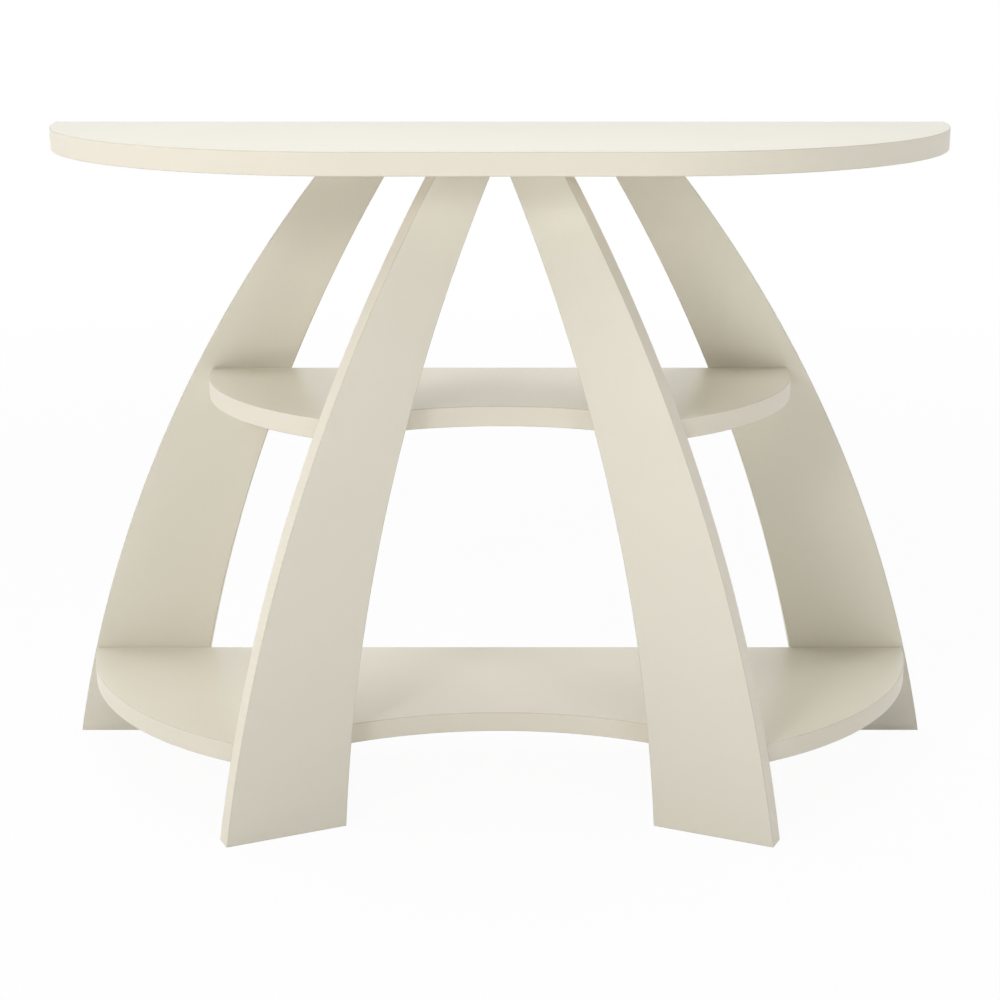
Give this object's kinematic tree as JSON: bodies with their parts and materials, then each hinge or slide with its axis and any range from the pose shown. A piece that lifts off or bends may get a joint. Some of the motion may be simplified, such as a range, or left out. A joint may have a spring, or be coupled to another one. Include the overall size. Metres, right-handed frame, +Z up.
{
  "type": "demilune table",
  "caption": "Half-round console table in cream paint: a D-shaped top and scooped open shelves on bowed, tapered board legs, joined with blind cam fittings and dowels.",
  "frame": {"origin": "on the floor, in the middle of the footprint", "axes": "+Z up; +Y towards the wall side, where the straight edge is; +X to the right of a person who faces the round front"},
  "size_m": [1.063, 0.3806, 0.762],
  "materials": {
    "painted_board": "satin cream paint on fibreboard",
    "dowel_wood": "plain beech",
    "zinc_steel": "zinc-plated",
    "cast_zinc": "die-cast, dull"
  },
  "bodies": {
    "root": {"table_top": "painted_board", "middle_shelf": "painted_board", "lower_shelf": "painted_board", "rear_leg_left": "painted_board", "rear_leg_right": "painted_board", "front_leg_left": "painted_board", "front_leg_right": "painted_board", "top_cam_bolts": "zinc_steel", "top_cam_locks": "cast_zinc", "top_dowels": "dowel_wood", "middle_shelf_cam_bolts": "zinc_steel", "middle_shelf_cam_locks": "cast_zinc", "middle_shelf_dowels": "dowel_wood", "lower_shelf_cam_bolts": "zinc_steel", "lower_shelf_cam_locks": "cast_zinc", "lower_shelf_dowels": "dowel_wood"}
  },
  "joints": []
}
